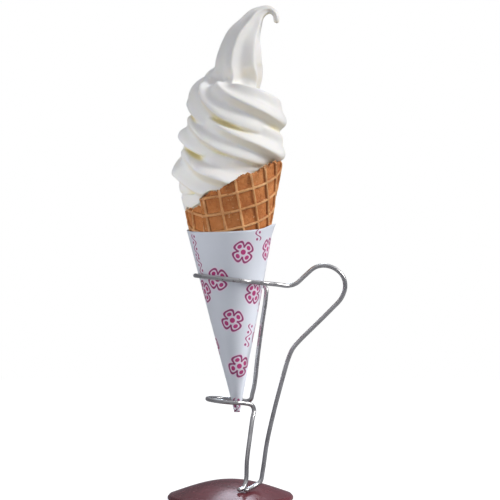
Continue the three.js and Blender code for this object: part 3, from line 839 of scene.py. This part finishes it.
def sprig(g, sheet):
    """Distance to a waving stem and its dots."""
    place, _ = nearest_motif(g, sheet, SPRIGS)
    split = g.add("ShaderNodeSeparateXYZ", {0: place}).node.outputs
    pace, amplitude = SPRIG_WAVE
    wave = g.math("MULTIPLY", g.math("SINE", g.math("MULTIPLY", split["Y"], pace)), amplitude)
    stem = g.math("ABSOLUTE", g.math("SUBTRACT", split["X"], wave))
    beyond = g.math("MAXIMUM", g.math("SUBTRACT", g.math("ABSOLUTE", split["Y"]), SPRIG_HALF), 0.0)
    stem = g.math("ADD", stem, beyond)
    beside, spacing, radius = SPRIG_DOT
    dot_x = g.math("SUBTRACT", split["X"], g.math("MULTIPLY", g.math("SIGN", wave), -beside))
    dot_y = g.math("PINGPONG", g.math("SUBTRACT", split["Y"], spacing), spacing)
    dot = g.math("SQRT", g.math("ADD", g.math("POWER", dot_x, 2.0), g.math("POWER", dot_y, 2.0)))
    dot = g.math("ADD", g.math("SUBTRACT", dot, radius), g.math("MULTIPLY", beyond, 2.0))
    return g.math("MINIMUM", stem, dot)


def paper_material():
    g = Graph("printed_paper")
    sheet = flat_paper(g)
    line, filled = flower(g, sheet)
    vine = sprig(g, sheet)
    ink_line = g.range(g.math("MINIMUM", line, vine), STROKE - INK_EDGE, STROKE + INK_EDGE, 1.0, 0.0)
    ink_fill = g.range(filled, -INK_EDGE, INK_EDGE, 1.0, 0.0)
    halo = g.range(g.math("MINIMUM", g.math("MINIMUM", line, vine), filled), 0.4, 1.9, 0.45, 0.0)
    cloud = g.noise(40, 3)
    colour = g.mix(cloud, (0.6, 0.63, 0.7), (0.65, 0.68, 0.74))
    colour = g.mix(halo, colour, (0.83, 0.62, 0.75))
    colour = g.mix(ink_fill, colour, (0.47, 0.045, 0.19))
    colour = g.mix(ink_line, colour, (0.3, 0.04, 0.15))
    fibre = g.bump(g.noise(1800, 4, 0.7), 0.05, 0.4)
    crease = g.bump(g.noise(90, 2, 0.4), 0.5, 0.35, fibre)
    sheen = g.range(g.noise(600, 2), 0.3, 0.7, 0.42, 0.52)
    return g.finish(Base_Color=colour, Roughness=sheen, Normal=crease, Specular_IOR_Level=0.4,
                    Sheen_Weight=0.05, Sheen_Roughness=0.5)


# ---------- wire holder ----------

CAP_LEVELS = np.radians((25, 50, 72))  # rings that round off each end of the wire


def upper_ring(degrees):
    """The ring that lies on the sleeve, on a tilted plane."""
    azimuth = math.radians(degrees)
    slant = (RING_HEIGHT - TIP[2]) / math.cos(HALF_ANGLE)
    out = WIRE_RADIUS + CLEARANCE + RING_SLACK
    for _ in range(6):
        x, _, z = on_cone(slant, azimuth, out)
        slant += (RING_HEIGHT - x * math.tan(RING_TILT) - z) / math.cos(HALF_ANGLE)
    return on_cone(slant, azimuth, out)


def lower_ring(degrees):
    azimuth = math.radians(degrees)
    along = LOWER_RING_RADIUS * math.cos(azimuth)
    height = LOWER_RING_HEIGHT - along * math.tan(LOWER_RING_TILT)
    return LOWER_RING_X + along, LOWER_RING_RADIUS * math.sin(azimuth), height


def arc(ring, start, end, step):
    count = round(abs(end - start) / step)
    return [ring(start + (end - start) * i / count) for i in range(count + 1)]


def wire_route():
    """One wire from foot to foot, as in the CAD source."""
    return [
        (6.2, -27.5, 10.1), (8.8, -25.2, 11.2), (10.4, -22.6, 15.5), (11.0, -20.0, 27.7),
        (13.0, -15.0, 43.3), (14.6, -11.0, 54.5), (15.6, -8.0, 60.2), (14.2, -8.6, 63.2),
        *arc(lower_ring, -50, -320, 22.5),
        (13.6, 6.6, 66.0), (14.6, 5.0, 69.8), (16.0, 4.5, 76.0), (18.3, 6.0, 96.0),
        (21.0, 8.2, 116.0), (23.6, 10.6, 134.0), (23.6, 12.6, 140.6),
        *arc(upper_ring, 42, 304, 16),
        (21.8, -18.2, 143.8), (31.0, -11.0, 142.9), (38.5, -6.5, 142.1), (43.8, -4.5, 143.7),
        (49.0, -3.2, 148.3), (56.6, -2.4, 154.4), (63.5, -2.2, 155.4), (70.2, -2.0, 153.0),
        (75.0, -2.0, 147.8), (76.3, -2.0, 141.0), (73.6, -2.2, 133.6), (67.0, -2.6, 126.4),
        (55.0, -3.4, 114.6), (46.0, -4.2, 105.8), (41.4, -5.0, 100.4), (38.6, -5.8, 94.4),
        (33.4, -8.8, 76.8), (28.0, -12.0, 56.4), (24.0, -14.6, 38.6), (21.4, -16.4, 21.4),
        (19.8, -17.6, 14.2), (16.0, -20.6, 11.7), (10.6, -27.0, 9.7),
    ]


def holder_wire(sides=20):
    line = catmull_rom(wire_route(), 12, 0.5)
    along = unit(np.gradient(line, axis=0))
    side = np.array([0.0, 0.0, 1.0])
    rings = []
    angle = np.linspace(0, 2 * np.pi, sides, endpoint=False)
    for centre, direction in zip(line, along):
        side = unit(side - side.dot(direction) * direction)
        other = np.cross(direction, side)
        way = np.cos(angle)[:, None] * side + np.sin(angle)[:, None] * other
        rings.append(centre + WIRE_RADIUS * way)
    for end, direction in ((0, -along[0]), (-1, along[-1])):
        middle = line[end]
        caps = [middle + (rings[end] - middle) * math.cos(t) + direction * WIRE_RADIUS * math.sin(t)
                for t in CAP_LEVELS]
        rings = [*caps[::-1], *rings] if end == 0 else [*rings, *caps]
    points, triangles, quads = closed_loft(rings)
    return new_object("holder_wire_bent", points, [*triangles, *quads])


def wire_material():
    g = Graph("steel_wire")
    cloud = g.noise(160, 4, 0.6)
    colour = g.ramp(cloud, (
        (0.3, (0.48, 0.47, 0.47)),
        (0.6, (0.58, 0.58, 0.59)),
        (0.8, (0.64, 0.64, 0.66)),
    ))
    dull = g.range(cloud, 0.3, 0.7, 0.24, 0.32)
    drawn = g.bump(g.noise(1400, 3, 0.6), 0.02, 0.12)
    dents = g.bump(g.noise(90, 2), 0.25, 0.08, drawn)
    return g.finish(Base_Color=colour, Metallic=1.0, Roughness=dull, Normal=dents)


# ---------- holder base ----------


def base_height(radius):
    shoulder = np.cos((np.pi / 2) * np.minimum(1, radius / (BASE_RADIUS + DOME_REACH)))
    return BASE_EDGE - DOME_DROP + (BASE_HEIGHT - BASE_EDGE + DOME_DROP) * shoulder**DOME_POWER


def holder_base():
    rolled = BASE_EDGE / 2
    bend = np.radians(np.linspace(-90, 60, 12))
    edge = [(BASE_RADIUS - rolled + rolled * math.cos(a), rolled + rolled * math.sin(a)) for a in bend]
    radii = (BASE_RADIUS - DOME_INSET) * np.cos(np.linspace(0, np.pi / 2, 26)[:-1])
    dome = [(r, base_height(r)) for r in radii]
    profile = np.array([(BASE_RADIUS - UNDERSIDE_INSET, 0.0), *edge, *dome])
    angle = np.linspace(0, 2 * np.pi, 144, endpoint=False)
    rings = [np.stack([r * np.cos(angle), r * np.sin(angle), 0 * angle + z], 1) for r, z in profile]
    points, triangles, quads = closed_loft(rings)
    return new_object("holder_base_dome", points, [*triangles, *quads])


def base_material():
    g = Graph("base_painted_reflection")
    # Painted reflection: the dark red-brown colour stands for the reddish room mirrored by the polished
    # steel dome.
    cloud = g.noise(35, 4, 0.55, distortion=0.4)
    colour = g.ramp(cloud, ((0.3, (0.13, 0.035, 0.043)), (0.7, (0.18, 0.049, 0.061))))
    dull = g.range(g.noise(90, 3), 0.3, 0.7, 0.22, 0.34)
    orange_peel = g.bump(g.noise(420, 2), 0.12, 0.2)
    return g.finish(Base_Color=colour, Roughness=dull, Normal=orange_peel, Metallic=0.1,
                    Specular_IOR_Level=0.08, Coat_Weight=0.22, Coat_Roughness=0.11)


# ---------- studio ----------

# Colours from below, at 0, to straight above, at 1.
WORLD_LIGHT = ((0.0, (0.38, 0.38, 0.4)), (1.0, (0.47, 0.48, 0.51)))
WORLD_MIRRORED = (
    (0.0, (0.19, 0.19, 0.21)),
    (0.25, (0.25, 0.25, 0.28)),
    (0.5, (0.17, 0.17, 0.19)),
    (1.0, (0.58, 0.58, 0.6)),
)
WORLD_SEEN = (1.0, 1.0, 1.0)
FLOOR_RADIUS = 1300
FLOOR_GLOW = 0.85

# Lamps: name, place, size, watts, colour, aim and spread in degrees, and whether they show in
# reflections and light what is matt.
MIDDLE = (0, 0, 0.2)
LAMPS = (
    ("key", (1.15, -0.33, 0.95), (0.35, 0.35), 12, (1, 0.985, 0.95), MIDDLE, 180, True, True),
    ("front", (-0.11, -1.264, 0.792), (0.8, 0.8), 0.7, (1, 1, 1), MIDDLE, 180, True, True),
    ("bounce", (-0.42, -0.28, 0.1), (0.12, 0.12), 0.026, (1, 1, 1), (-0.04, 0, 0.205), 22, False, True),
    ("low", (-0.5, -0.45, 0.08), (0.12, 0.12), 0.012, (1, 1, 1), (0, 0, 0.065), 14, False, True),
    ("side", (1.1, -0.02, 0.2), (0.12, 0.12), 0.065, (1, 1, 1), (0, 0, 0.09), 14, False, True),
    ("behind", (0.05, 0.9, 1.0), (0.7, 0.36), 0.26, (0.76, 0.89, 1), (0, 0.11, 0), 24, True, False),
)

CAMERA_PLACE = (0.013, -1.04, 0.145)
CAMERA_TILT = math.radians(91.15)  # from straight down
CAMERA_LENS = 112.3
CAMERA_SENSOR = 36


def area_light(name, place, size, power, colour, aim, spread, mirrored, lighting):
    data = bpy.data.lights.new(name, "AREA")
    data.shape = "RECTANGLE"
    data.size, data.size_y = size
    data.spread = math.radians(spread)
    data.energy = power
    data.color = colour
    light = bpy.data.objects.new(name, data)
    light.location = place
    light.rotation_euler = (Vector(aim) - Vector(place)).to_track_quat("-Z", "Y").to_euler()
    light.visible_camera = False
    light.visible_glossy = mirrored
    light.visible_diffuse = lighting
    bpy.context.scene.collection.objects.link(light)


def studio_world():
    """Plain white where the camera sees it; a soft studio, brighter above, in light and reflections."""
    world = bpy.data.worlds.new("studio")
    bpy.context.scene.world = world
    world.use_nodes = True
    g = Graph.__new__(Graph)
    g.nodes, g.links = world.node_tree.nodes, world.node_tree.links
    direction = g.nodes.new("ShaderNodeTexCoord").outputs["Generated"]
    split = g.add("ShaderNodeSeparateXYZ", {0: direction}).node.outputs
    height = g.range(split["Z"], -0.4, 1.0)
    rays = g.nodes.new("ShaderNodeLightPath").outputs
    around = g.mix(rays["Is Glossy Ray"], g.ramp(height, WORLD_LIGHT), g.ramp(height, WORLD_MIRRORED))
    background = g.nodes["Background"]
    g.put(g.mix(rays["Is Camera Ray"], around, WORLD_SEEN), background.inputs["Color"])


def floor_disc():
    angle = np.linspace(0, 2 * np.pi, 96, endpoint=False)
    rim_points = np.stack([np.cos(angle), np.sin(angle), 0 * angle], 1) * FLOOR_RADIUS
    floor = new_object("floor", rim_points, [range(96)])
    g = Graph("floor")
    seen = g.nodes.new("ShaderNodeLightPath").outputs["Is Camera Ray"]
    shade = g.mix(g.noise(3, 2), (0.38, 0.38, 0.39), (0.41, 0.41, 0.42))
    glow = g.math("MULTIPLY", seen, FLOOR_GLOW)
    floor.data.materials.append(g.finish(Base_Color=shade, Roughness=0.9, Emission_Color=(1, 1, 1, 1),
                                         Emission_Strength=glow, Specular_IOR_Level=0.0))


def studio():
    studio_world()
    floor_disc()
    for lamp in LAMPS:
        area_light(*lamp)


def camera():
    data = bpy.data.cameras.new("camera")
    data.lens = CAMERA_LENS
    data.sensor_width = CAMERA_SENSOR
    made = bpy.data.objects.new("camera", data)
    made.location = CAMERA_PLACE
    made.rotation_euler = (CAMERA_TILT, 0, 0)
    bpy.context.scene.collection.objects.link(made)
    bpy.context.scene.camera = made


# ---------- the dressed object ----------

camera()
studio()
bpy.context.scene.view_settings.view_transform = "Standard"

dress(soft_serve(), cream_material(), "soft_serve")
dress(waffle_cone(), waffle_material(), "waffle_cone")
dress(paper_sleeve(), paper_material(), "paper_sleeve")
dress(holder_wire(), wire_material(), "holder_wire")
dress(holder_base(), base_material(), "holder_base")
